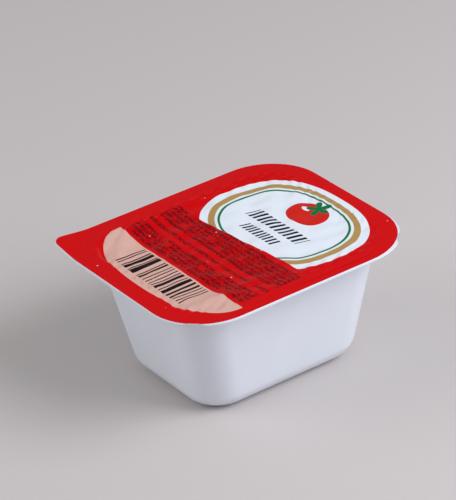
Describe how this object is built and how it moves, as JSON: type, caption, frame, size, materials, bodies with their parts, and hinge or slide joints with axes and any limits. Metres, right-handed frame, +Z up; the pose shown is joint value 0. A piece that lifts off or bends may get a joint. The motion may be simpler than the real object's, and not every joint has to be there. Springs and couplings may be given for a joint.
{
  "type": "ketchup dip tub",
  "caption": "Sealed one-portion dip tub: a tapered white plastic tub with a flat rim and a printed red film lid with a lifted peel corner.",
  "frame": {"origin": "middle of the bounding box's bottom, on the surface that the tub stands on", "axes": "+Z up through the lid; +Y along the longer side of the rim, towards the label panel; +X across, so that the lifted peel corner is at -X -Y"},
  "size_m": [0.046, 0.054, 0.0264],
  "materials": {
    "tub_plastic": "satin white formed plastic",
    "lid_print": "satin printed film, red with a white label panel and a pale strip"
  },
  "bodies": {
    "root": {"tub": "tub_plastic", "lid_film": "lid_print"}
  },
  "joints": []
}
